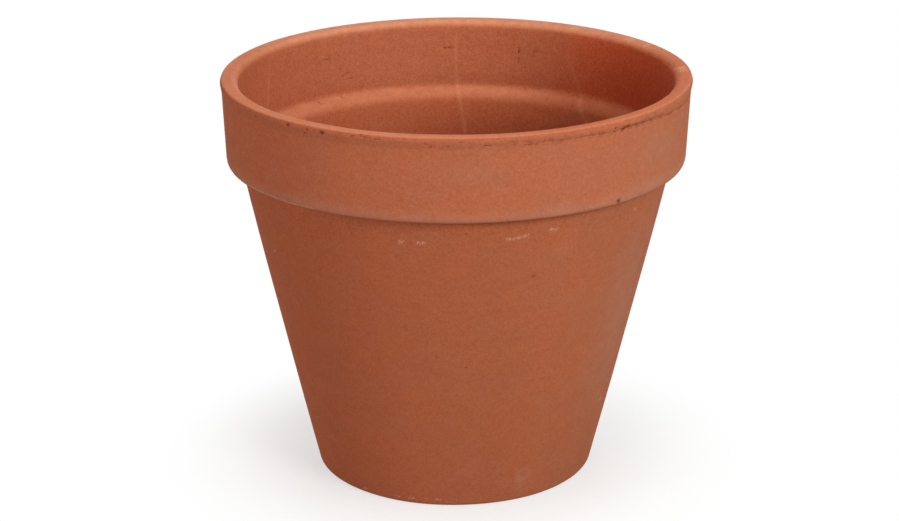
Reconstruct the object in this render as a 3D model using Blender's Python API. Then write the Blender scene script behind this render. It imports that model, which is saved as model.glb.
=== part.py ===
"""Terracotta flowerpot with a rounded lip, a tall collar and a drained floor.

Everything is turned about the Z axis. The origin is on that axis at the pot's underside, +Z is up and
lengths are in metres. The fired clay is made in three zones that meet face to face: the base with its
drain hole, the tapered wall, and the collar with the lip.
"""

import math

import bmesh
import bpy
from mathutils import Vector

# Overall sizes
RIM_DIAMETER = 0.310
HEIGHT = 0.270
BASE_DIAMETER = 0.187

# Base
FLOOR_THICKNESS = 0.012
FLOOR_FILLET = 0.010
BASE_EDGE_ROUNDING = 0.0025
DRAIN_DIAMETER = 0.024
DRAIN_EDGE_ROUNDING = 0.002

# Wall, its thickness measured square to its slope
WALL_THICKNESS = 0.0095

# Collar
COLLAR_HEIGHT = 0.056
COLLAR_OVERHANG = 0.0085
COLLAR_DRAFT = 0.0023
COLLAR_EDGE_ROUNDING = 0.0035
NECK_LENGTH = 0.006
NECK_FILLET = 0.0015

# Lip
LIP_THICKNESS = 0.0115
LIP_HEIGHT = 0.0062
LIP_STEP = 0.0008
LIP_STEP_ROUNDING = 0.0005
LIP_OUTER_ROUNDING = 0.004
LIP_INNER_ROUNDING = 0.005

# Shoulder inside, behind the collar
SHOULDER_HEIGHT = 0.003
SHOULDER_RISE = 0.0065
SHOULDER_ROUNDING = 0.008

# Fineness of the turned faces
SIDES = 72
ARC_STEP = math.radians(30)
SHARP_ANGLE = math.radians(35)

# Worked out from the sizes above
RIM_RADIUS = RIM_DIAMETER / 2
BASE_RADIUS = BASE_DIAMETER / 2
DRAIN_RADIUS = DRAIN_DIAMETER / 2
COLLAR_BOTTOM = HEIGHT - COLLAR_HEIGHT
COLLAR_TOP_RADIUS = RIM_RADIUS - LIP_STEP
COLLAR_BOTTOM_RADIUS = COLLAR_TOP_RADIUS - COLLAR_DRAFT
NECK_RADIUS = COLLAR_BOTTOM_RADIUS - COLLAR_OVERHANG
LIP_INNER_RADIUS = RIM_RADIUS - LIP_THICKNESS
LIP_BOTTOM = HEIGHT - LIP_HEIGHT
SHOULDER_BOTTOM = COLLAR_BOTTOM + SHOULDER_HEIGHT
SHOULDER_TOP = SHOULDER_BOTTOM + SHOULDER_RISE
WALL_BOTTOM = FLOOR_THICKNESS + 2 * FLOOR_FILLET
WALL_TOP = COLLAR_BOTTOM - NECK_LENGTH
WALL_SLOPE = math.atan2(NECK_RADIUS - BASE_RADIUS, COLLAR_BOTTOM)
WALL_WIDTH = WALL_THICKNESS / math.cos(WALL_SLOPE)


def outside(height):
    """Outer radius of the wall at a height, also where its line runs on into the base or the collar."""
    return BASE_RADIUS + math.tan(WALL_SLOPE) * height


def inside(height):
    """Inner radius of the wall at a height."""
    return outside(height) - WALL_WIDTH


def half_angles(points):
    """Half of the angle between the two edges at each point of a closed outline."""
    following = points[1:] + points[:1]
    before = points[-1:] + points[:-1]
    return [(a - p).angle(b - p) / 2 for a, p, b in zip(before, points, following)]


def rounding_limits(points, lengths):
    """Share of each corner's rounding that its edges have room for, from the arcs' lengths along them."""
    shares = [1.0] * len(points)
    for index in range(len(points)):
        other = (index + 1) % len(points)
        needed = lengths[index] + lengths[other]
        edge = (points[index] - points[other]).length
        share = min(1.0, edge / needed) if needed > 0 else 1.0
        shares[index] = min(shares[index], share)
        shares[other] = min(shares[other], share)
    return shares


def corner_arc(before, corner, after, length, half_angle):
    """Points of the arc that rounds a corner and starts and ends that length along its two edges."""
    sweep = math.pi - 2 * half_angle
    steps = math.ceil(sweep / ARC_STEP)
    middle = (before - corner).normalized() + (after - corner).normalized()
    centre = corner + middle.normalized() * length / math.cos(half_angle)
    start = corner + (before - corner).normalized() * length - centre
    turn = math.copysign(sweep, (corner - before).cross(after - corner))
    arc = []
    for step in range(steps + 1):
        angle = turn * step / steps
        across = Vector((-start.y, start.x))
        arc.append(centre + start * math.cos(angle) + across * math.sin(angle))
    return arc


def rounded_outline(corners):
    """Closed outline of (radius, height) points from (radius, height, rounding) corners."""
    points = [Vector(corner[:2]) for corner in corners]
    angles = half_angles(points)
    lengths = [corner[2] / math.tan(angle) for corner, angle in zip(corners, angles)]
    shares = rounding_limits(points, lengths)
    outline = []
    for index, corner in enumerate(points):
        if lengths[index] > 0:
            before = points[index - 1]
            after = points[(index + 1) % len(points)]
            length = lengths[index] * shares[index]
            outline.extend(corner_arc(before, corner, after, length, angles[index]))
        else:
            outline.append(corner)
    return outline


def clay(name, colour, roughness):
    """Unglazed fired clay."""
    material = bpy.data.materials.new(name)
    material.use_nodes = True
    shader = material.node_tree.nodes["Principled BSDF"]
    shader.inputs["Base Color"].default_value = (*colour, 1.0)
    shader.inputs["Roughness"].default_value = roughness
    shader.inputs["Metallic"].default_value = 0.0
    return material


def turned_piece(name, corners, material):
    """Solid of revolution about Z, spun from a closed outline at +X."""
    shape = bmesh.new()
    points = [shape.verts.new((point.x, 0.0, point.y)) for point in rounded_outline(corners)]
    edges = [shape.edges.new(ends) for ends in zip(points, points[1:] + points[:1])]
    bmesh.ops.spin(
        shape,
        geom=points + edges,
        cent=(0.0, 0.0, 0.0),
        axis=(0.0, 0.0, 1.0),
        angle=math.tau,
        steps=SIDES,
        use_merge=True,
    )
    bmesh.ops.recalc_face_normals(shape, faces=shape.faces)
    mesh = bpy.data.meshes.new(name)
    shape.to_mesh(mesh)
    shape.free()
    mesh.materials.append(material)
    mesh.shade_smooth()
    mesh.set_sharp_from_angle(angle=SHARP_ANGLE)
    piece = bpy.data.objects.new(name, mesh)
    bpy.context.scene.collection.objects.link(piece)
    return piece


def base_corners():
    """Floor with the drain hole, and the foot of the wall turning up from it."""
    return [
        (DRAIN_RADIUS, 0.0, DRAIN_EDGE_ROUNDING),
        (BASE_RADIUS, 0.0, BASE_EDGE_ROUNDING),
        (outside(WALL_BOTTOM), WALL_BOTTOM, 0.0),
        (inside(WALL_BOTTOM), WALL_BOTTOM, 0.0),
        (inside(FLOOR_THICKNESS), FLOOR_THICKNESS, FLOOR_FILLET),
        (DRAIN_RADIUS, FLOOR_THICKNESS, DRAIN_EDGE_ROUNDING),
    ]


def wall_corners():
    """Straight tapered wall between the base and the collar's neck."""
    return [
        (outside(WALL_BOTTOM), WALL_BOTTOM, 0.0),
        (outside(WALL_TOP), WALL_TOP, 0.0),
        (inside(WALL_TOP), WALL_TOP, 0.0),
        (inside(WALL_BOTTOM), WALL_BOTTOM, 0.0),
    ]


def collar_corners():
    """Neck, overhanging collar, lip bead and the shoulder inside."""
    return [
        (inside(WALL_TOP), WALL_TOP, 0.0),
        (outside(WALL_TOP), WALL_TOP, 0.0),
        (NECK_RADIUS, COLLAR_BOTTOM, NECK_FILLET),
        (COLLAR_BOTTOM_RADIUS, COLLAR_BOTTOM, COLLAR_EDGE_ROUNDING),
        (COLLAR_TOP_RADIUS, LIP_BOTTOM, LIP_STEP_ROUNDING),
        (RIM_RADIUS, LIP_BOTTOM + LIP_STEP, LIP_STEP_ROUNDING),
        (RIM_RADIUS, HEIGHT, LIP_OUTER_ROUNDING),
        (LIP_INNER_RADIUS, HEIGHT, LIP_INNER_ROUNDING),
        (LIP_INNER_RADIUS, SHOULDER_TOP, SHOULDER_ROUNDING),
        (inside(SHOULDER_BOTTOM), SHOULDER_BOTTOM, SHOULDER_ROUNDING),
    ]


def clear_scene():
    for item in list(bpy.data.objects):
        bpy.data.objects.remove(item)


def main():
    clear_scene()
    pot = bpy.data.objects.new("terracotta_pot", None)
    bpy.context.scene.collection.objects.link(pot)
    pieces = [
        turned_piece("drained_base", base_corners(), clay("base_clay", (0.33, 0.088, 0.038), 0.85)),
        turned_piece("tapered_wall", wall_corners(), clay("wall_clay", (0.36, 0.092, 0.040), 0.82)),
        turned_piece("rim_collar", collar_corners(), clay("collar_clay", (0.41, 0.115, 0.054), 0.80)),
    ]
    for piece in pieces:
        piece.parent = pot


main()
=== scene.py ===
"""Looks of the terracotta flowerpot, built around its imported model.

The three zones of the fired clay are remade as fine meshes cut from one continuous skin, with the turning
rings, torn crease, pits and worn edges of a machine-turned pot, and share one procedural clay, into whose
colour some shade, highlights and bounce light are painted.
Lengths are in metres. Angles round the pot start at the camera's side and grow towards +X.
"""

import math

import bpy
import numpy as np
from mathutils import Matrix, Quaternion, Vector, noise


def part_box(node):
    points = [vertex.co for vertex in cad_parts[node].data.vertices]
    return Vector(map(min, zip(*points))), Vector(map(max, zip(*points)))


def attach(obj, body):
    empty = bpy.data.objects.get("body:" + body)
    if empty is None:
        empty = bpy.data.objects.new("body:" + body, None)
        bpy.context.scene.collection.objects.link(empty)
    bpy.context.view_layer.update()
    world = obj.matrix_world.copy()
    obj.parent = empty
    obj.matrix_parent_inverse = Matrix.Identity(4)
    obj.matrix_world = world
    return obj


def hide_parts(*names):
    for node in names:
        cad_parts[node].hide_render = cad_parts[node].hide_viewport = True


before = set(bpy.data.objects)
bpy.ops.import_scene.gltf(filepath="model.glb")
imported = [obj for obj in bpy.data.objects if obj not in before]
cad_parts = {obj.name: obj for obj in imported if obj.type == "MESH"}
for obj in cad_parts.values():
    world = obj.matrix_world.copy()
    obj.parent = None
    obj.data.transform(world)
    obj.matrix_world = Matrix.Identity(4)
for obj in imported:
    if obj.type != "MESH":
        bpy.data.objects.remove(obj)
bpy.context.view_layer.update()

# Sizes read from the frame
base_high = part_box("drained_base")[1]
wall_low, wall_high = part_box("tapered_wall")
rim_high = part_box("rim_collar")[1]
HEIGHT = rim_high.z
RIM_RADIUS = rim_high.x
WALL_BOTTOM = wall_low.z
WALL_TOP = wall_high.z
WALL_TAPER = (wall_high.x - base_high.x) / (WALL_TOP - WALL_BOTTOM)
BASE_RADIUS = base_high.x - WALL_TAPER * WALL_BOTTOM

# Sizes of the section
FLOOR_THICKNESS = 0.012
FLOOR_FILLET = 0.010
BASE_ROUNDING = 0.0025
DRAIN_RADIUS = 0.012
DRAIN_ROUNDING = 0.002
WALL_THICKNESS = 0.0095
NECK_LENGTH = 0.006
NECK_FILLET = 0.0015
COLLAR_ROUNDING = 0.0022
COLLAR_DRAFT = 0.0020
LIP_THICKNESS = 0.0115
LIP_SINK = 0.0002
LIP_HEIGHT = 0.0080
LIP_STEP = 0.0010
LIP_STEP_ROUNDING = 0.0026
LIP_CROWN = 0.0026
LIP_CROWN_ROUNDING = 0.0020
LIP_SETBACK = 0.0009
LIP_OUTER_ROUNDING = 0.0015
LIP_INNER_ROUNDING = 0.0050
SHOULDER_HEIGHT = 0.0036
SHOULDER_RISE = 0.0039
SHOULDER_TOP_ROUNDING = 0.005
SHOULDER_ROUNDING = 0.009

COLLAR_BOTTOM = WALL_TOP + NECK_LENGTH
COLLAR_TOP_RADIUS = RIM_RADIUS - LIP_STEP
COLLAR_BOTTOM_RADIUS = COLLAR_TOP_RADIUS - COLLAR_DRAFT
LIP_INNER_RADIUS = RIM_RADIUS - LIP_THICKNESS
LIP_TOP = HEIGHT - LIP_SINK
LIP_BOTTOM = HEIGHT - LIP_HEIGHT
SHOULDER_BOTTOM = COLLAR_BOTTOM + SHOULDER_HEIGHT
SHOULDER_TOP = SHOULDER_BOTTOM + SHOULDER_RISE
WALL_WIDTH = WALL_THICKNESS * math.hypot(1.0, WALL_TAPER)

# Fineness of the skin: columns and map strips of each zone, turn of an arc's steps, and spacing of runs
BASE_SIDES = 640
WALL_SIDES = 640
COLLAR_SIDES = 810
BASE_STRIPS = 2
WALL_STRIPS = 1
COLLAR_STRIPS = 3
ARC_STEP = math.radians(12)
FLOOR_STEP = 0.0022
FOOT_STEP = 0.0017
WALL_STEP = 0.0017
INNER_WALL_STEP = 0.0040
COLLAR_STEP = 0.0021
COLLAR_FACE_STEP = 0.0015
CREASE_STEP = 0.0005
CREASE_REACH = 0.0015
SHARP_ANGLE = math.radians(60)
MAP_MARGIN = 0.01

# Firing and turning: the pot leans a little, its wall is drawn in and swells, and nothing is quite even
LEAN = 0.0073
WALL_BELLY = 0.0006
WALL_DRAW = 0.0004
WALL_DRAW_END = 0.004
UNEVENNESS = 0.00022
UNEVEN_FREQUENCY = 16.0
RING_DEPTH_OUTSIDE = 0.00003
RING_DEPTH_INSIDE = 0.00007
RING_FREQUENCY = 210.0
RING_TURNS = 2.2

# Crease under the lip, cut deepest on one side of the pot and missing on the other
CREASE_HEIGHT = LIP_BOTTOM + 0.0018
CREASE_DROP = 0.0022
CREASE_DEPTH = 0.0005
CREASE_WIDTH = 0.0005
CREASE_SHARE = 0.8
CREASE_TEARING = 0.5
CREASE_TEAR_FREQUENCY = 90.0

# Lumps along the lip's inner edge, on the same side, and the depths where they start and are full
LUMP_HEIGHT = 0.0004
LUMP_FREQUENCY = 140.0
LUMP_DEPTHS = (0.007, 0.002)

# Sides of the pot that differ: degrees round it, and the degrees away where a change starts and is full
CREASE_SIDE = (70, 70, 25)
CREASE_DROP_SIDE = (105, 65, 35)
LUMP_SIDE = (100, 50, 25)
BACK_LIP = (180, 80, 30)
RIGHT_LIP = (55, 70, 30)
SHADED_SHOULDER = (130, 38, 10)
# Inner sides with red painted bounce light, the left also with painted shade, and the inner left where the
# painted shade low down is lighter
INNER_RIGHT = (117, 42, 12)
INNER_LEFT = (-115, 45, 10)
LESS_SHADED_LEFT = (-140, 45, 12)
DUSTY_BACK = (-155, 70, 25)

# Marks on the clay, in degrees round the pot and millimetres up it: pits with a radius, lines by their ends
MILLIMETRE = 0.001
LIP_PITS = [
    (-54, 266.0, 0.7), (-45, 264.2, 0.6), (-42, 267.2, 1.1), (-37, 264.2, 0.7), (-36, 267.0, 0.9),
    (-35, 267.4, 0.5), (-32, 266.6, 1.2), (-28, 264.4, 0.6), (-22, 269.0, 0.5), (-7, 265.6, 0.7),
    (-6, 264.0, 0.8), (-5, 267.0, 0.6), (-2, 264.2, 0.7), (3, 264.2, 0.7), (5, 267.6, 0.5),
    (10, 267.0, 0.5), (20, 266.4, 0.5), (22, 265.4, 0.5), (25, 266.4, 0.6), (34, 262.2, 0.6),
    (36, 263.6, 0.6), (39, 265.6, 0.7), (51, 263.8, 0.6),
]
LIP_TEARS = [
    ((-24.6, 267.2), (-23.4, 267.8)), ((-22.8, 268.2), (-21.4, 267.9)), ((-21.0, 267.5), (-19.8, 267.3)),
    ((-18.8, 266.8), (-17.2, 267.0)), ((-34.2, 267.4), (-33.6, 266.8)), ((0.4, 267.0), (1.4, 267.0)),
    ((6.0, 264.7), (7.8, 264.7)), ((12.0, 266.4), (13.6, 266.0)), ((14.8, 266.2), (16.8, 265.0)),
    ((15.2, 263.6), (17.0, 263.2)), ((31.0, 264.2), (32.4, 264.2)), ((37.6, 263.0), (39.0, 263.0)),
    ((44.0, 264.6), (49.4, 264.9)), ((45.0, 263.8), (52.0, 264.0)), ((53.0, 264.4), (57.0, 264.2)),
]
GASH = ((41.2, 263.4), (43.3, 264.9))
WALL_PITS = [
    (41.4, 216.8, 1.3), (31, 226.5, 0.5), (18, 245.5, 0.4), (21, 240.5, 0.3), (-9, 258.0, 0.4),
    (21, 171.0, 1.0), (-15, 136.0, 0.9), (-6, 116.0, 0.8), (3, 108.0, 0.8), (41, 162.0, 0.8),
]
INSIDE_SCRATCHES = [
    ((-137.2, 248.4), (-141.6, 250.4)), ((-145.0, 244.2), (-145.6, 239.6)),
    ((-146.6, 236.8), (-145.8, 234.8)), ((-148.2, 238.2), (-147.0, 237.0)),
    ((-149.4, 234.2), (-148.4, 233.0)), ((-176.6, 250.0), (-179.0, 250.2)),
    ((157.2, 250.0), (154.8, 250.6)), ((157.8, 246.4), (157.4, 247.0)), ((161.8, 252.0), (161.8, 247.5)),
    ((161.8, 244.5), (161.8, 240.2)), ((151.8, 218.0), (151.4, 218.2)), ((142.8, 216.0), (142.2, 216.6)),
    ((-145.4, 221.0), (-145.0, 221.2)), ((-137.2, 220.4), (-136.8, 220.6)),
    ((-173.6, 207.6), (-173.2, 207.8)),
]
WALL_SCUFFS = [
    ((13.0, 199.6), (14.6, 199.4)), ((14.6, 199.6), (17.6, 200.6)), ((17.4, 200.4), (18.2, 200.8)),
    ((24.2, 202.8), (26.2, 202.6)), ((-14.6, 197.4), (-13.6, 197.6)), ((-10.0, 197.8), (-8.0, 198.0)),
    ((53.6, 201.2), (54.4, 201.2)),
]
INSIDE_LINES = [
    ((180.2, 258.0), (179.6, 223.0)), ((179.6, 223.0), (176.8, 190.0)), ((147.0, 252.0), (143.2, 229.4)),
    ((143.2, 229.4), (140.8, 219.0)), ((140.8, 219.0), (135.0, 206.0)), ((-117.0, 261.0), (-115.8, 228.0)),
]
# Painted highlight, partly a worn edge, along the collar's lower edge on the left
WORN_EDGE_HIGHLIGHTS = [((-66, 215.9), (-50, 215.7)), ((-50, 215.7), (-36, 215.5))]
# Painted shade and dirt along the crease under the bead, on the right
CREASE_SHADE_AND_DIRT_LINES = [((20, 264.6), (34, 264.3)), ((34, 264.3), (52, 264.6))]

# Chips: on the foot by their middles, with half a length in degrees, and on the lip by their two angles
FOOT_CHIPS = [(-39, 3.4), (-24, 4.1), (-18, 4.4), (-12, 4.7), (-7, 4.6)]
FOOT_CHIP_HALF = 0.8
LIP_CHIPS = [(90, 94), (125, 127), (118, 119)]
LIP_CHIP_HEIGHT = 269.6

# Blooms of dust: degrees round the pot, then millimetres up it, half width, half height, and share
DUST_PATCHES = [
    (62, 120, 50, 120, 0.28), (58, 240, 50, 34, 0.12), (4, 248, 32, 11, 0.08), (4, 26, 9, 8, 0.11),
    (7, 36, 9, 10, 0.06), (26, 13, 6, 10, 0.17), (-20, 60, 30, 14, 0.05), (35, 150, 30, 12, 0.06),
    (27, 185, 22, 9, 0.07),
]
DUST_RING = (27, 20, 8, 7, 0.22)

# Random marks on the sides and the back: their numbers, radii, and ranges of degrees and millimetres
MARK_SEED = 7
FAR_LIP_PITS = 30
FAR_WALL_PITS = 14
FAR_WALL_SCUFFS = 9
FAR_LIP_PIT = 0.6
FAR_WALL_PIT = 0.7
FAR_SIDE = (62, 298)
FAR_LIP_HEIGHTS = (263, 268)
FAR_PIT_HEIGHTS = (10, 255)
FAR_SCUFF_HEIGHTS = (20, 205)
FAR_SCUFF_TURNS = (0.5, 2.5)
FAR_SCUFF_RISES = (-1, 1)

# Depth of the pits and the closeness where it starts and is full, and widths and strengths of the marks
PIT_DEPTH = 0.0004
PIT_EDGE = (0.3, 0.8)
PIT_SPREAD = 1.1
PIT_HALF_TURNS = (0.05, 0.25)
PIT_RISES = (-0.2, 0.2)
PIT_STRENGTH = 0.38
PIT_STRENGTH_BY_RADIUS = 0.5
GASH_WIDTH = 0.0012
TEAR_WIDTH = 0.0006
TEAR_STRENGTH = 0.66
SCRATCH_WIDTH = 0.0009
SCRATCH_STRENGTH = 0.70
CREASE_SHADE_AND_DIRT_WIDTH = 0.0018
CREASE_SHADE_AND_DIRT_STRENGTH = 0.48
SCUFF_WIDTH = 0.0010
SCUFF_STRENGTH = 0.90
FAR_SCUFF_STRENGTH = 0.75
WORN_EDGE_HIGHLIGHT_WIDTH = 0.0008
WORN_EDGE_HIGHLIGHT_STRENGTH = 0.75
FOOT_CHIP_WIDTH = 0.0009
FOOT_CHIP_STRENGTH = 0.80
LIP_CHIP_WIDTH = 0.0012
LIP_CHIP_STRENGTH = 0.70
INSIDE_LINE_WIDTH = 0.0010

# Shares of the pale clay on worn edges, with painted highlight on the lip and the ledge and painted shade
# on the lip's right and the ledge's shaded side, of the painted shade inside and on the bead, of the red
# painted bounce light inside, and of the grey dust
LIP_WEAR_AND_HIGHLIGHT = 0.33
BACK_LIP_HIGHLIGHT = 0.42
RIGHT_LIP_SHADE = -0.23
LEDGE_WEAR_AND_HIGHLIGHT = 0.34
SHADED_LEDGE_DIMMING = 0.7
INSIDE_LINE_WEAR = 0.22
BEAD_SHADE = 0.6
INSIDE_SHADE = 0.12
SHOULDER_SHADE = 0.33
BELOW_SHOULDER_SHADE = 0.6
LEFT_SHADE_RELIEF = 0.45
LEFT_SHADE = 0.2
RIGHT_BOUNCE = 0.8
LEFT_BOUNCE = 0.20
WALL_DUST = 0.03
INSIDE_DUST = 0.08
COLLAR_DUST = 0.09
EDGE_DUST = 0.28

# Slopes, as the upward part of the skin's normal, where a share of clay starts and is full
LIP_INSIDE_SLOPE = (-0.1, 0.85)
LIP_OUTSIDE_SLOPE = (0.25, 0.80)
LEDGE_SLOPE = (0.25, 0.85)
BEAD_LOWER_SLOPE = (0.05, 0.25)
BEAD_UPPER_SLOPE = (0.72, 0.45)
BOUNCE_SLOPE = (0.6, 0.1)

# Reach of the dust above the collar's lower edge, and of the painted shade and the red painted bounce light
# past shoulder and wall
COLLAR_DUST_RISE = (0.0002, 0.0015)
EDGE_DUST_FALL = (0.012, 0.003)
DUST_WAVER = 0.003
DUST_WAVER_FREQUENCY = 30.0
SHADE_ABOVE_SHOULDER = 0.015
SHADE_BELOW_WALL_TOP = 0.022
BOUNCE_ABOVE_SHOULDER = 0.004

# Coarseness of the clay: on the wall, with more just under the collar, on the collar, and inside
WALL_GRIT = 0.45
UNDER_COLLAR_GRIT = 0.22
UNDER_COLLAR_REACH = 0.025
COLLAR_GRIT = 0.55
INSIDE_GRIT = 0.5
INSIDE_COLLAR_GRIT = 0.2

# Camera
CAMERA_DISTANCE = 1.631
CAMERA_ELEVATION = math.radians(19.33)
CAMERA_AIM = Vector((-0.0032, 0.0, 0.1385))
CAMERA_ROLL = math.radians(-0.29)
CAMERA_LENS = 96.64
SENSOR_WIDTH = 36.0

# Soft boxes: degrees round the pot, degrees up, width, watts and tint
LIGHTS = {
    "top_left_box": (-30, 75, 0.9, 12.6, (1.08, 1.01, 0.91)),
    "top_right_box": (60, 75, 0.9, 7.4, (1.03, 1.03, 0.94)),
    "high_right_box": (60, 40, 0.9, 6.0, (0.97, 1.05, 0.98)),
    "right_box": (38, 22, 0.9, 25.2, (0.98, 1.02, 1.00)),
    "left_box": (-30, 12, 0.9, 7.6, (1.23, 0.96, 0.81)),
    "low_left_box": (-70, 3, 0.4, 7.8, (1.04, 0.98, 0.98)),
    "low_right_box": (95, 5, 0.4, 3.2, (0.91, 1.07, 1.02)),
    "back_box": (180, 50, 0.9, 4.5, (1.06, 1.0, 0.94)),
    "low_back_box": (180, 3, 0.9, 12.0, (1.0, 1.0, 1.0)),
}
LIGHT_DISTANCE = 2.0
LIGHT_AIM = Vector((0.0, 0.0, 0.18))
AMBIENT = 0.004

# Floor: its paleness as seen and as it lights the pot, the distances from the pot's axis where its own
# white grows from a share to full, and those where it sets in at the edge of the dark under the pot
FLOOR_SEEN = 0.92
FLOOR_BOUNCE = 0.14
FLOOR_FADE = (0.09, 0.21)
FLOOR_WHITE = 0.62
FLOOR_UNDER = (0.06, 0.08)
FLOOR_GAP = 0.0002
FLOOR_REACH = 4.0


def outside(height):
    """Outer radius of the wall at a height."""
    return BASE_RADIUS + WALL_TAPER * height


def inside(height):
    """Inner radius of the wall at a height."""
    return outside(height) - WALL_WIDTH


def collar_radius(height):
    """Outer radius of the collar at a height."""
    share = (height - COLLAR_BOTTOM) / (LIP_BOTTOM - COLLAR_BOTTOM)
    return COLLAR_BOTTOM_RADIUS + COLLAR_DRAFT * share


def section_corners():
    """Corners of the closed section: radius, height, rounding and spacing of the run that follows."""
    crease_start = LIP_BOTTOM - CREASE_REACH
    return [
        (DRAIN_RADIUS, 0.0, DRAIN_ROUNDING, FLOOR_STEP),
        (BASE_RADIUS, 0.0, BASE_ROUNDING, FOOT_STEP),
        (outside(WALL_BOTTOM), WALL_BOTTOM, 0.0, WALL_STEP),
        (outside(WALL_TOP), WALL_TOP, 0.0, COLLAR_STEP),
        (outside(COLLAR_BOTTOM), COLLAR_BOTTOM, NECK_FILLET, COLLAR_STEP),
        (COLLAR_BOTTOM_RADIUS, COLLAR_BOTTOM, COLLAR_ROUNDING, COLLAR_FACE_STEP),
        (collar_radius(crease_start), crease_start, 0.0, CREASE_STEP),
        (COLLAR_TOP_RADIUS, LIP_BOTTOM, LIP_STEP_ROUNDING, CREASE_STEP),
        (RIM_RADIUS, LIP_TOP - LIP_CROWN, LIP_CROWN_ROUNDING, CREASE_STEP),
        (RIM_RADIUS - LIP_SETBACK, LIP_TOP, LIP_OUTER_ROUNDING, COLLAR_STEP),
        (LIP_INNER_RADIUS, LIP_TOP, LIP_INNER_ROUNDING, COLLAR_STEP),
        (LIP_INNER_RADIUS, SHOULDER_TOP, SHOULDER_TOP_ROUNDING, COLLAR_STEP),
        (inside(SHOULDER_BOTTOM), SHOULDER_BOTTOM, SHOULDER_ROUNDING, COLLAR_STEP),
        (inside(WALL_TOP), WALL_TOP, 0.0, INNER_WALL_STEP),
        (inside(WALL_BOTTOM), WALL_BOTTOM, 0.0, FOOT_STEP),
        (inside(FLOOR_THICKNESS), FLOOR_THICKNESS, FLOOR_FILLET, FLOOR_STEP),
        (DRAIN_RADIUS, FLOOR_THICKNESS, DRAIN_ROUNDING, FOOT_STEP),
    ]


def corner_arc(before, corner, after, rounding):
    """Points of the arc that rounds a corner, or the corner itself."""
    if rounding == 0.0:
        return [corner]
    back = (before - corner).normalized()
    ahead = (after - corner).normalized()
    half_angle = back.angle(ahead) / 2
    sweep = math.pi - 2 * half_angle
    steps = max(3, math.ceil(sweep / ARC_STEP))
    length = rounding / math.tan(half_angle)
    centre = corner + (back + ahead).normalized() * length / math.cos(half_angle)
    start = corner + back * length - centre
    turn = math.copysign(sweep, (corner - before).cross(after - corner))
    across = Vector((-start.y, start.x))
    angles = [turn * step / steps for step in range(steps + 1)]
    return [centre + start * math.cos(angle) + across * math.sin(angle) for angle in angles]


def section():
    """Dense closed outline of the clay as rows of (radius, height), from the drain hole outwards."""
    corners = section_corners()
    points = [Vector(corner[:2]) for corner in corners]
    arcs = [
        corner_arc(points[index - 1], point, points[(index + 1) % len(points)], corners[index][2])
        for index, point in enumerate(points)
    ]
    outline = []
    for index, arc in enumerate(arcs):
        outline.extend(arc)
        end = arcs[(index + 1) % len(arcs)][0]
        run = end - arc[-1]
        steps = round(run.length / corners[index][3])
        outline.extend(arc[-1] + run * step / steps for step in range(1, steps))
    return np.array(outline)


def outward(outline):
    """Unit normals of a closed outline that runs anticlockwise."""
    along = np.roll(outline, -1, axis=0) - np.roll(outline, 1, axis=0)
    normals = np.stack([along[:, 1], -along[:, 0]], axis=1)
    return normals / np.linalg.norm(normals, axis=1, keepdims=True)


def seam_rows(outline):
    """Rows of the outline at the zones' seams: outer bottom, outer top, inner top and inner bottom."""
    seams = [
        (outside(WALL_BOTTOM), WALL_BOTTOM),
        (outside(WALL_TOP), WALL_TOP),
        (inside(WALL_TOP), WALL_TOP),
        (inside(WALL_BOTTOM), WALL_BOTTOM),
    ]
    return [int(np.argmin(np.linalg.norm(outline - seam, axis=1))) for seam in seams]


def field(points, frequency):
    """Smooth noise from about -1 to 1 at each point of an array of places."""
    scaled = (points * frequency).reshape(-1, 3).tolist()
    return np.array([noise.noise(point) for point in scaled]).reshape(points.shape[:-1])


def ramp(value, start, end):
    """Smooth rise from 0 at start to 1 at end, which may lie either way."""
    share = np.clip((value - start) / (end - start), 0.0, 1.0)
    return share * share * (3.0 - 2.0 * share)


def swell(height):
    """How far the wall stands off its straight line at a height."""
    share = np.clip(height / COLLAR_BOTTOM, 0.0, 1.0)
    below_collar = ramp(height, COLLAR_BOTTOM + WALL_DRAW_END, COLLAR_BOTTOM)
    return WALL_BELLY * np.sin(math.pi * share) - WALL_DRAW * below_collar


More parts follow.
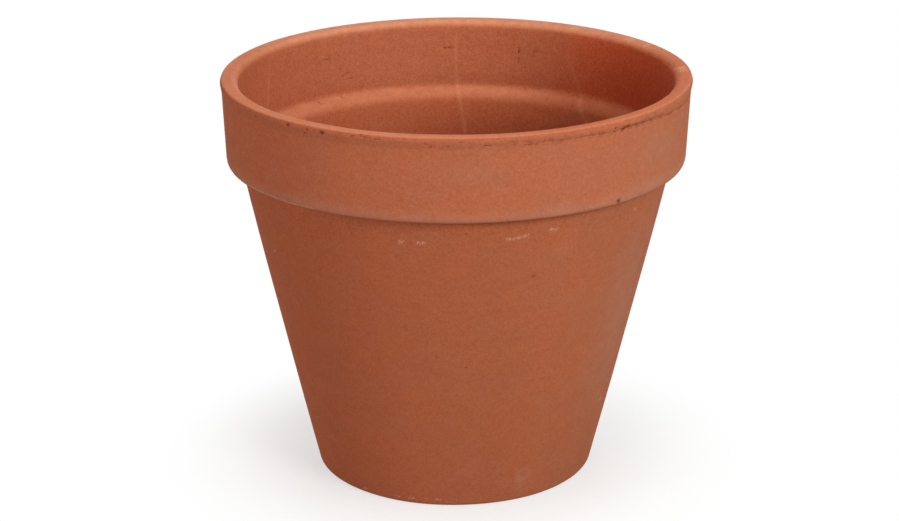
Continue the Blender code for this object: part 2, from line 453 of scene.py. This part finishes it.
class Skin:
    """Part of the clay's skin: a row for each of some points of its section, a column for each angle."""

    def __init__(self, outline, rows, sides):
        lengths = np.linalg.norm(np.diff(outline, axis=0), axis=1)
        normals = outward(outline)[rows]
        self.outline = outline[rows]
        self.travel = np.concatenate([[0.0], np.cumsum(lengths)])[rows]
        self.angles = np.arange(sides) * math.tau / sides
        self.height = self.outline[:, 1][:, None]
        self.inner = (rows > np.argmax(outline[:, 1]))[:, None]
        self.upward = normals[:, 1][:, None]
        self.radius = self.outline[:, 0][:, None] + swell(self.height)
        self.places = self.around(self.radius[:, 0], self.outline[:, 1])
        self.normals = self.around(normals[:, 0], normals[:, 1])

    def around(self, radius, height):
        """Points at each row's radius and height, at every angle."""
        across = radius[:, None] * np.sin(self.angles)
        away = -radius[:, None] * np.cos(self.angles)
        return np.stack([across, away, np.repeat(height[:, None], len(self.angles), axis=1)], axis=2)

    def plan_noise(self, frequency):
        """Smooth noise by place in the pot's plan, whatever the height."""
        return field(self.places * (1.0, 1.0, 0.0), frequency)

    def facing(self, side, start, end):
        """Rise from 0 to 1 as the degrees away from a side fall from start to end."""
        away = np.abs((np.degrees(self.angles) - side + 180) % 360 - 180)
        return ramp(away, start, end)

    def stroke(self, start, end, width, inner=False):
        """Closeness to a line between two places in degrees and millimetres: 1 on it, 0.5 a width away."""
        middle = math.radians(start[0] + end[0]) / 2
        turn = (self.angles - middle + math.pi) % math.tau - math.pi
        across = turn * self.radius
        up = self.height - (start[1] + end[1]) / 2 * MILLIMETRE
        half_across = math.radians(end[0] - start[0]) / 2 * self.radius
        half_up = (end[1] - start[1]) / 2 * MILLIMETRE
        length = np.maximum(np.hypot(half_across, half_up), 1e-6)
        along = (across * half_across + up * half_up) / length
        aside = (across * half_up - up * half_across) / length
        past = np.maximum(np.abs(along) - length, 0.0)
        closeness = np.clip(1.0 - np.hypot(past, aside) / (2 * width), 0.0, 1.0)
        return np.where(self.inner == inner, closeness, 0.0)

    def strokes(self, lines, width, inner=False):
        """Closeness to the nearest of some lines."""
        return np.maximum.reduce([self.stroke(start, end, width, inner) for start, end in lines])

    def patch(self, azimuth, height, half_width, half_height):
        """Rise from 0 at the edge of an oval to 1 in its middle, its half sizes in millimetres."""
        turn = (self.angles - math.radians(azimuth) + math.pi) % math.tau - math.pi
        across = turn * self.radius / (half_width * MILLIMETRE)
        up = (self.height - height * MILLIMETRE) / (half_height * MILLIMETRE)
        return np.where(self.inner, 0.0, ramp(np.hypot(across, up), 1.0, 0.0))


def crease(skin, width):
    """Closeness to the crease under the lip, from 0 to 1, where it is cut."""
    tear = CREASE_TEARING * skin.plan_noise(CREASE_TEAR_FREQUENCY)
    dropped = CREASE_HEIGHT - CREASE_DROP * skin.facing(*CREASE_DROP_SIDE)
    groove = np.clip(1.0 - np.abs(skin.height - dropped) / (2 * width), 0.0, 1.0)
    cut = skin.facing(*CREASE_SIDE) * np.clip(CREASE_SHARE + tear, 0.0, 1.0)
    return np.where(skin.inner, 0.0, groove * cut)


def far_side(random):
    """A random angle in degrees on the sides and the back of the pot."""
    return random.uniform(*FAR_SIDE)


def far_pits(random, count, heights, radius):
    """Random pits of a radius on the sides and the back, in a range of heights."""
    return [(far_side(random), random.uniform(*heights), radius) for _ in range(count)]


def pits(skin):
    """Closeness to the pits and tears in the clay."""
    random = np.random.default_rng(MARK_SEED)
    far_lip = far_pits(random, FAR_LIP_PITS, FAR_LIP_HEIGHTS, FAR_LIP_PIT)
    far_wall = far_pits(random, FAR_WALL_PITS, FAR_PIT_HEIGHTS, FAR_WALL_PIT)
    marks = [
        skin.stroke(*GASH, GASH_WIDTH),
        TEAR_STRENGTH * skin.strokes(LIP_TEARS, TEAR_WIDTH),
        SCRATCH_STRENGTH * skin.strokes(INSIDE_SCRATCHES, SCRATCH_WIDTH, inner=True),
    ]
    for azimuth, height, radius in LIP_PITS + WALL_PITS + far_lip + far_wall:
        half = random.uniform(*PIT_HALF_TURNS)
        ends = (azimuth - half, height), (azimuth + half, height + random.uniform(*PIT_RISES))
        strength = min(1.0, PIT_STRENGTH + PIT_STRENGTH_BY_RADIUS * radius)
        marks.append(strength * skin.stroke(*ends, PIT_SPREAD * radius * MILLIMETRE))
    return np.maximum.reduce(marks)


def crease_shade_and_dirt(skin):
    """Closeness to the brown in the crease and along the torn part of the lip: painted shade with dirt."""
    return np.maximum(crease(skin, 2 * CREASE_WIDTH), CREASE_SHADE_AND_DIRT_STRENGTH * skin.strokes(CREASE_SHADE_AND_DIRT_LINES, CREASE_SHADE_AND_DIRT_WIDTH))


def far_scuffs():
    """Random scratches on the sides and the back of the wall."""
    random = np.random.default_rng(MARK_SEED)
    lines = []
    for _ in range(FAR_WALL_SCUFFS):
        azimuth, height = far_side(random), random.uniform(*FAR_SCUFF_HEIGHTS)
        end = (azimuth + random.uniform(*FAR_SCUFF_TURNS), height + random.uniform(*FAR_SCUFF_RISES))
        lines.append(((azimuth, height), end))
    return lines


def scuffs_and_edge_highlight(skin):
    """Closeness to the pale scratches and chips, and to a painted highlight on the collar's worn lower
    edge.
    """
    foot_chips = [
        ((azimuth - FOOT_CHIP_HALF, height), (azimuth + FOOT_CHIP_HALF, height))
        for azimuth, height in FOOT_CHIPS
    ]
    lip_chips = [((start, LIP_CHIP_HEIGHT), (end, LIP_CHIP_HEIGHT)) for start, end in LIP_CHIPS]
    return np.maximum.reduce([
        SCUFF_STRENGTH * skin.strokes(WALL_SCUFFS, SCUFF_WIDTH),
        FAR_SCUFF_STRENGTH * skin.strokes(far_scuffs(), SCUFF_WIDTH),
        WORN_EDGE_HIGHLIGHT_STRENGTH * skin.strokes(WORN_EDGE_HIGHLIGHTS, WORN_EDGE_HIGHLIGHT_WIDTH),
        FOOT_CHIP_STRENGTH * skin.strokes(foot_chips, FOOT_CHIP_WIDTH),
        LIP_CHIP_STRENGTH * skin.strokes(lip_chips, LIP_CHIP_WIDTH, inner=True),
    ])


def wear_and_highlight(skin):
    """Share of pale clay: on the lip's top and the shoulder's ledge, wear with painted highlight; along the
    lines inside, wear.
    """
    back = skin.facing(*BACK_LIP)
    right = skin.facing(*RIGHT_LIP)
    # The lip's pale is wear with painted highlight, raised at the back, and lowered on the right as painted
    # shade
    lip_paleness = LIP_WEAR_AND_HIGHLIGHT + BACK_LIP_HIGHLIGHT * back + RIGHT_LIP_SHADE * right
    top = np.where(skin.inner, ramp(skin.upward, *LIP_INSIDE_SLOPE), ramp(skin.upward, *LIP_OUTSIDE_SLOPE))
    lip = lip_paleness * top * (skin.height > LIP_BOTTOM)
    # The ledge's pale is painted highlight with wear, less on its shaded side
    ledge_paleness = LEDGE_WEAR_AND_HIGHLIGHT * (1.0 - SHADED_LEDGE_DIMMING * skin.facing(*SHADED_SHOULDER))
    ledge = ledge_paleness * ramp(skin.upward, *LEDGE_SLOPE) * (skin.height < LIP_BOTTOM)
    edges = (lip + ledge) * (skin.height > WALL_TOP)
    return edges + INSIDE_LINE_WEAR * skin.strokes(INSIDE_LINES, INSIDE_LINE_WIDTH, inner=True)


def dust(skin):
    """Share of grey dust: on the collar, most along its lower edge, and in faint blooms elsewhere."""
    above_edge = skin.height - COLLAR_BOTTOM
    waver = DUST_WAVER * skin.plan_noise(DUST_WAVER_FREQUENCY)
    collar = ramp(above_edge, *COLLAR_DUST_RISE)
    edge = ramp(above_edge + waver, *EDGE_DUST_FALL)
    outer = WALL_DUST + collar * (COLLAR_DUST - WALL_DUST + EDGE_DUST * edge)
    back_left = skin.facing(*DUSTY_BACK)
    shares = np.where(skin.inner, INSIDE_DUST * back_left * (skin.height > SHOULDER_TOP), outer)
    for *place, share in DUST_PATCHES:
        shares = shares + share * skin.patch(*place)
    *place, share = DUST_RING
    ring = skin.patch(*place)
    return shares + 4 * share * ring * (1.0 - ring)


def painted_shade(skin):
    """Share of painted shade, as darker clay: inside, growing with depth, and on the lip's outer face."""
    # Painted shade: the inside darkens with depth, less so low on the left
    upper = ramp(skin.height, SHOULDER_TOP + SHADE_ABOVE_SHOULDER, SHOULDER_TOP)
    lower = ramp(skin.height, SHOULDER_BOTTOM, WALL_TOP - SHADE_BELOW_WALL_TOP)
    left = LEFT_SHADE * skin.facing(*INNER_LEFT)
    below = BELOW_SHOULDER_SHADE - LEFT_SHADE_RELIEF * skin.facing(*LESS_SHADED_LEFT)
    depth = np.minimum(INSIDE_SHADE + SHOULDER_SHADE * upper + below * lower + left, 1.0)
    # Painted shade on the lip's outer face, between its top and its underside
    bead = BEAD_SHADE * ramp(skin.upward, *BEAD_UPPER_SLOPE) * ramp(skin.upward, *BEAD_LOWER_SLOPE)
    bead = np.where(skin.height > LIP_BOTTOM, bead, 0.0)
    return np.where(skin.inner, depth, bead)


def flush(skin):
    """Share of redder painted bounce light: inside, on the two sides above the shoulder."""
    # Painted bounce light: the red glow of light thrown between the inner walls
    right = RIGHT_BOUNCE * skin.facing(*INNER_RIGHT)
    left = LEFT_BOUNCE * skin.facing(*INNER_LEFT)
    upper = ramp(skin.height, SHOULDER_BOTTOM, SHOULDER_TOP + BOUNCE_ABOVE_SHOULDER)
    return np.where(skin.inner, (right + left) * upper * ramp(skin.upward, *BOUNCE_SLOPE), 0.0)


def grit(skin):
    """How coarse the clay's surface is: coarsest inside and just under the collar."""
    under = ramp(skin.height, WALL_TOP - UNDER_COLLAR_REACH, WALL_TOP)
    outer = np.where(skin.height > COLLAR_BOTTOM, COLLAR_GRIT, WALL_GRIT + UNDER_COLLAR_GRIT * under)
    inner = INSIDE_GRIT + INSIDE_COLLAR_GRIT * ramp(skin.height, SHOULDER_BOTTOM, SHOULDER_TOP)
    return np.where(skin.inner, inner, outer)


def lumps(skin):
    """Lumps on the inner edge of the lip, on one side of the pot."""
    side = skin.facing(*LUMP_SIDE)
    edge = ramp(LIP_TOP - skin.height, *LUMP_DEPTHS) * skin.inner
    return LUMP_HEIGHT * side * edge * field(skin.places, LUMP_FREQUENCY)


def shaped(skin, pit_marks):
    """Places of a skin with the turning and firing marks pressed into them."""
    rings = skin.around(np.full(len(skin.travel), RING_TURNS / RING_FREQUENCY), skin.travel)
    ring_depth = np.where(skin.inner, RING_DEPTH_INSIDE, RING_DEPTH_OUTSIDE)
    offset = UNEVENNESS * field(skin.places, UNEVEN_FREQUENCY)
    offset += ring_depth * field(rings, RING_FREQUENCY)
    offset += lumps(skin) - CREASE_DEPTH * crease(skin, CREASE_WIDTH)
    offset -= PIT_DEPTH * ramp(pit_marks, *PIT_EDGE)
    places = skin.places + skin.normals * offset[:, :, None]
    places[:, :, 0] += LEAN * places[:, :, 2]
    places[:, :, 2] = np.maximum(places[:, :, 2], 0.0)
    return places


def closed_mesh(name, places, values):
    """Mesh of a skin that closes on itself along its rows and columns, with values at its points."""
    count, sides = places.shape[:2]
    index = np.arange(count * sides).reshape(count, sides)
    right = np.roll(index, -1, axis=1)
    quads = np.stack([index, right, np.roll(right, -1, axis=0), np.roll(index, -1, axis=0)], axis=2)
    mesh = bpy.data.meshes.new(name)
    mesh.from_pydata(places.reshape(-1, 3).tolist(), [], quads.reshape(-1, 4).tolist())
    for value_name, value in values.items():
        attribute = mesh.attributes.new(value_name, "FLOAT", "POINT")
        attribute.data.foreach_set("value", np.broadcast_to(value, (count, sides)).ravel())
    mesh.shade_smooth()
    mesh.set_sharp_from_angle(angle=SHARP_ANGLE)
    return mesh


def add_strip_map(mesh, outline, sides, strips):
    """Map for a skin's texture: its turn is cut into equal strips, which lie one above the other."""
    loop = np.append(outline, outline[:1], axis=0)
    lengths = np.linalg.norm(np.diff(loop, axis=0), axis=1)
    up = np.concatenate([[0.0], np.cumsum(lengths)]) / lengths.sum()
    strip, column = np.divmod(np.arange(sides), sides // strips)
    corners = np.empty((len(outline), sides, 4, 2))
    for corner, (right, above) in enumerate([(0, 0), (1, 0), (1, 1), (0, 1)]):
        along = (column + right) * strips / sides
        share = up[above:len(outline) + above]
        corners[:, :, corner, 0] = MAP_MARGIN + (1.0 - 2 * MAP_MARGIN) * along
        corners[:, :, corner, 1] = (strip + MAP_MARGIN + (1.0 - 2 * MAP_MARGIN) * share[:, None]) / strips
    mesh.uv_layers.new(name="OFBake").data.foreach_set("uv", corners.ravel())


def add_piece(name, skin, strips, node, material):
    """One zone of the clay, standing for its node of the frame."""
    paints = (pits, scuffs_and_edge_highlight, crease_shade_and_dirt, wear_and_highlight, dust, painted_shade, flush, grit)
    values = {paint.__name__: paint(skin) for paint in paints}
    piece = bpy.data.objects.new(name, closed_mesh(name, shaped(skin, values["pits"]), values))
    add_strip_map(piece.data, skin.outline, len(skin.angles), strips)
    piece.data.materials.append(material)
    bpy.context.scene.collection.objects.link(piece)
    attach(piece, "root")
    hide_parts(node)


def build_pot(material):
    """The three zones of the clay, cut from one outline."""
    outline = section()
    outer_bottom, outer_top, inner_top, inner_bottom = seam_rows(outline)
    rows = np.arange(len(outline))
    base_rows = np.concatenate([rows[inner_bottom:], rows[:outer_bottom + 1]])
    wall_rows = np.concatenate([rows[outer_bottom:outer_top + 1], rows[inner_top:inner_bottom + 1]])
    collar_rows = rows[outer_top:inner_top + 1]
    zones = [
        ("base_clay", base_rows, BASE_SIDES, BASE_STRIPS, "drained_base"),
        ("wall_clay", wall_rows, WALL_SIDES, WALL_STRIPS, "tapered_wall"),
        ("collar_clay", collar_rows, COLLAR_SIDES, COLLAR_STRIPS, "rim_collar"),
    ]
    for name, zone_rows, sides, strips, node in zones:
        add_piece(name, Skin(outline, zone_rows, sides), strips, node, material)


class Nodes:
    """Shorthand for filling a node tree."""

    def __init__(self, tree):
        self.tree = tree

    def add(self, kind, inputs, **settings):
        """New shader node of a kind, with its settings, and its inputs set or linked by name or number."""
        node = self.tree.nodes.new("ShaderNode" + kind)
        for name, value in settings.items():
            setattr(node, name, value)
        for name, value in inputs.items():
            self.feed(node, name, value)
        return node

    def feed(self, node, name, value):
        """Links a socket to a node's input, or sets the input to a value."""
        if isinstance(value, bpy.types.NodeSocket):
            self.tree.links.new(value, node.inputs[name])
        else:
            node.inputs[name].default_value = value

    def math(self, operation, first, second):
        """Result of an operation on two values."""
        return self.add("Math", {0: first, 1: second}, operation=operation).outputs[0]

    def span(self, value, low, high, start=0.0, end=1.0):
        """Value carried smoothly from the range low to high into the range start to end."""
        inputs = {"Value": value, "From Min": low, "From Max": high, "To Min": start, "To Max": end}
        return self.add("MapRange", inputs, interpolation_type="SMOOTHSTEP").outputs[0]

    def noise(self, place, scale, detail=2.0, roughness=0.5):
        """Noise from 0 to 1."""
        inputs = {"Vector": place, "Scale": scale, "Detail": detail, "Roughness": roughness}
        return self.add("TexNoise", inputs).outputs[0]

    def grain(self, place, height, **settings):
        """Noise about 0, as high as a value says."""
        centred = self.math("SUBTRACT", self.noise(place, **settings), 0.5)
        return self.math("MULTIPLY", centred, height)

    def mix(self, share, first, second):
        """Colour that goes from the first to the second."""
        node = self.add("Mix", {"Factor": share}, data_type="RGBA")
        self.feed(node, 6, first)
        self.feed(node, 7, second)
        return node.outputs[2]

    def value(self, name):
        """A value stored at the mesh's points."""
        return self.add("Attribute", {}, attribute_name=name).outputs["Fac"]


def clay_grain(nodes, place):
    """Light and dark of the clay about 0: fine grains, soft clumps and faint streaks from turning."""
    coarseness = nodes.value("grit")
    streak_scale = (22.0, 22.0, 380.0)
    along_turn = nodes.add("VectorMath", {0: place, 1: streak_scale}, operation="MULTIPLY").outputs[0]
    clump_height = nodes.math("MULTIPLY", coarseness, 0.22)
    fine = nodes.grain(place, coarseness, scale=730.0, detail=3.0, roughness=0.6)
    clumps = nodes.grain(place, clump_height, scale=260.0)
    broad = nodes.grain(place, 0.08, scale=75.0)
    streaks = nodes.grain(along_turn, 0.05, scale=1.0)
    return nodes.math("ADD", nodes.math("ADD", fine, clumps), nodes.math("ADD", broad, streaks))


def clay_colour(nodes, place):
    """Orange and pinkish clay in soft patches, with grain, dark pits, pale wear, grey dust and painted
    light and shade.
    """
    orange = (0.490, 0.130, 0.053, 1.0)
    pink = (0.470, 0.131, 0.059, 1.0)
    # Painted shade: darker clay inside and on the bead
    shaded_clay = (0.345, 0.074, 0.030, 1.0)
    # Painted bounce light: the red glow of light thrown between the inner walls
    bounce_red = (0.58, 0.100, 0.036, 1.0)
    pit_dirt = (0.14, 0.020, 0.007, 1.0)
    # Brown dirt round the pits, and painted shade with dirt in the crease
    brown_shade_and_dirt = (0.32, 0.070, 0.028, 1.0)
    # Pale wear, also used as painted highlight on the lip and the ledge
    pale = (0.66, 0.276, 0.160, 1.0)
    # Chalk of the scuffs and chips, also a painted highlight along the collar's lower edge
    chalk_and_highlight = (0.72, 0.38, 0.25, 1.0)
    grey = (0.50, 0.25, 0.175, 1.0)
    grain_tint = (0.480, 0.216, 0.130)
    patches = nodes.span(nodes.noise(place, scale=34.0, detail=3.0), 0.35, 0.65)
    colour = nodes.mix(patches, orange, pink)
    # Painted shade inside and on the bead, then red painted bounce light inside
    colour = nodes.mix(nodes.value("painted_shade"), colour, shaded_clay)
    colour = nodes.mix(nodes.value("flush"), colour, bounce_red)
    grain = clay_grain(nodes, place)
    tinted = nodes.add("VectorMath", {0: grain, 1: grain_tint, 2: colour}, operation="MULTIPLY_ADD")
    colour = tinted.outputs[0]
    cover = nodes.span(nodes.noise(place, scale=160.0, detail=4.0), 0.2, 0.8, start=0.7, end=1.3)
    colour = nodes.mix(nodes.math("MULTIPLY", nodes.value("dust"), cover), colour, grey)
    # Pale wear and painted highlight
    colour = nodes.mix(nodes.math("MULTIPLY", nodes.value("wear_and_highlight"), cover), colour, pale)
    ragged = nodes.span(nodes.noise(place, scale=1300.0), 0.2, 0.8, start=-0.3, end=0.3)
    crumbs = nodes.span(nodes.noise(place, scale=1500.0, detail=1.0), 0.3, 0.7, start=-0.5, end=0.5)
    # Chalk scuffs and chips, and a painted highlight on the collar's lower edge
    scuffed_and_lit = nodes.span(nodes.math("ADD", nodes.value("scuffs_and_edge_highlight"), crumbs), 0.5, 0.9, end=0.75)
    colour = nodes.mix(scuffed_and_lit, colour, chalk_and_highlight)
    # Brown round the pits, and painted shade with dirt along the crease
    halo = nodes.span(nodes.value("pits"), 0.1, 0.8, end=0.35)
    broken = nodes.span(nodes.noise(place, scale=330.0), 0.35, 0.65, start=-0.35, end=0.2)
    crease_dark = nodes.math("ADD", nodes.value("crease_shade_and_dirt"), nodes.math("ADD", ragged, broken))
    crease_darkened = nodes.span(crease_dark, 0.15, 0.8, end=0.75)
    colour = nodes.mix(nodes.math("MAXIMUM", halo, crease_darkened), colour, brown_shade_and_dirt)
    pitted = nodes.span(nodes.math("ADD", nodes.value("pits"), ragged), 0.45, 0.8, end=0.9)
    return nodes.mix(pitted, colour, pit_dirt)


def clay_material():
    """Matt, unglazed fired clay."""
    material = bpy.data.materials.new("fired_clay")
    material.use_nodes = True
    nodes = Nodes(material.node_tree)
    shader = material.node_tree.nodes["Principled BSDF"]
    place = nodes.add("TexCoord", {}).outputs["Object"]
    nodes.feed(shader, "Base Color", clay_colour(nodes, place))
    roughness = nodes.span(nodes.noise(place, scale=120.0, detail=4.0), 0.3, 0.7, start=0.84, end=0.96)
    nodes.feed(shader, "Roughness", roughness)
    nodes.feed(shader, "Specular IOR Level", 0.2)
    bumps = nodes.noise(place, scale=700.0, detail=4.0, roughness=0.65)
    grit_height = nodes.math("MULTIPLY", bumps, nodes.value("grit"))
    bump = nodes.add("Bump", {"Strength": 0.3, "Distance": 0.0005, "Height": grit_height})
    nodes.feed(shader, "Normal", bump.outputs[0])
    return material


def add_soft_box(name, position, target, size, energy, tint):
    """Round soft light at a position, turned to a target."""
    lamp = bpy.data.lights.new(name, "AREA")
    lamp.shape = "DISK"
    lamp.size = size
    lamp.energy = energy
    lamp.color = tint
    light = bpy.data.objects.new(name, lamp)
    light.location = position
    light.rotation_mode = "QUATERNION"
    light.rotation_quaternion = (target - position).to_track_quat("-Z", "Y")
    bpy.context.scene.collection.objects.link(light)


def add_lights():
    """All soft boxes, at one distance from the pot."""
    for name, (azimuth, elevation, size, energy, tint) in LIGHTS.items():
        turn, rise = math.radians(azimuth), math.radians(elevation)
        way = Vector((math.sin(turn) * math.cos(rise), -math.cos(turn) * math.cos(rise), math.sin(rise)))
        add_soft_box(name, LIGHT_AIM + way * LIGHT_DISTANCE, LIGHT_AIM, size, energy, tint)


def seen(nodes):
    """1 on rays from the camera, also by way of a gloss or a clear body, and 0 on the rays that light."""
    rays = nodes.add("LightPath", {}).outputs
    direct = nodes.math("MAXIMUM", rays["Is Camera Ray"], rays["Is Glossy Ray"])
    return nodes.math("MAXIMUM", direct, rays["Is Transmission Ray"])


def add_world():
    """Dim even surroundings, seen as white by the camera."""
    world = bpy.data.worlds.new("surroundings")
    world.use_nodes = True
    bpy.context.scene.world = world
    nodes = Nodes(world.node_tree)
    background = world.node_tree.nodes["Background"]
    nodes.feed(background, "Color", (1.0, 1.0, 1.0, 1.0))
    nodes.feed(background, "Strength", nodes.span(seen(nodes), 0.0, 1.0, start=AMBIENT))


def floor_material():
    """Paper that keeps the pot's shadow, turns plain white further out, and bounces little light."""
    material = bpy.data.materials.new("floor_paper")
    material.use_nodes = True
    tree = material.node_tree
    tree.nodes.clear()
    nodes = Nodes(tree)
    camera = seen(nodes)
    place = nodes.add("TexCoord", {}).outputs["Object"]
    distance = nodes.add("VectorMath", {0: place}, operation="LENGTH").outputs["Value"]
    paleness = nodes.span(camera, 0.0, 1.0, start=FLOOR_BOUNCE, end=FLOOR_SEEN)
    paper = nodes.add("BsdfDiffuse", {"Color": paleness})
    white = nodes.add("Emission", {"Color": (1.0, 1.0, 1.0, 1.0), "Strength": 1.0})
    beside = nodes.math("MULTIPLY", camera, nodes.span(distance, *FLOOR_UNDER))
    share = nodes.math("MULTIPLY", beside, nodes.span(distance, *FLOOR_FADE, start=FLOOR_WHITE))
    mixed = nodes.add("MixShader", {0: share, 1: paper.outputs[0], 2: white.outputs[0]})
    nodes.add("OutputMaterial", {"Surface": mixed.outputs[0]})
    return material


def add_floor():
    """Flat sheet just under the pot."""
    mesh = bpy.data.meshes.new("floor")
    ways = [(-1, -1), (1, -1), (1, 1), (-1, 1)]
    corners = [(FLOOR_REACH * across, FLOOR_REACH * away, -FLOOR_GAP) for across, away in ways]
    mesh.from_pydata(corners, [], [(0, 1, 2, 3)])
    floor = bpy.data.objects.new("floor", mesh)
    mesh.materials.append(floor_material())
    bpy.context.scene.collection.objects.link(floor)


def add_camera():
    """Camera at the photograph's viewing angle."""
    camera = bpy.data.objects.new("camera", bpy.data.cameras.new("camera"))
    camera.data.lens = CAMERA_LENS
    camera.data.sensor_width = SENSOR_WIDTH
    back = Vector((0.0, -math.cos(CAMERA_ELEVATION), math.sin(CAMERA_ELEVATION)))
    camera.location = Vector((0.0, 0.0, HEIGHT / 2)) + back * CAMERA_DISTANCE
    facing = (CAMERA_AIM - camera.location).to_track_quat("-Z", "Y")
    camera.rotation_mode = "QUATERNION"
    camera.rotation_quaternion = facing @ Quaternion((0.0, 0.0, 1.0), CAMERA_ROLL)
    bpy.context.scene.collection.objects.link(camera)
    bpy.context.scene.camera = camera


bpy.context.scene.view_settings.view_transform = "Standard"
build_pot(clay_material())
add_floor()
add_world()
add_lights()
add_camera()
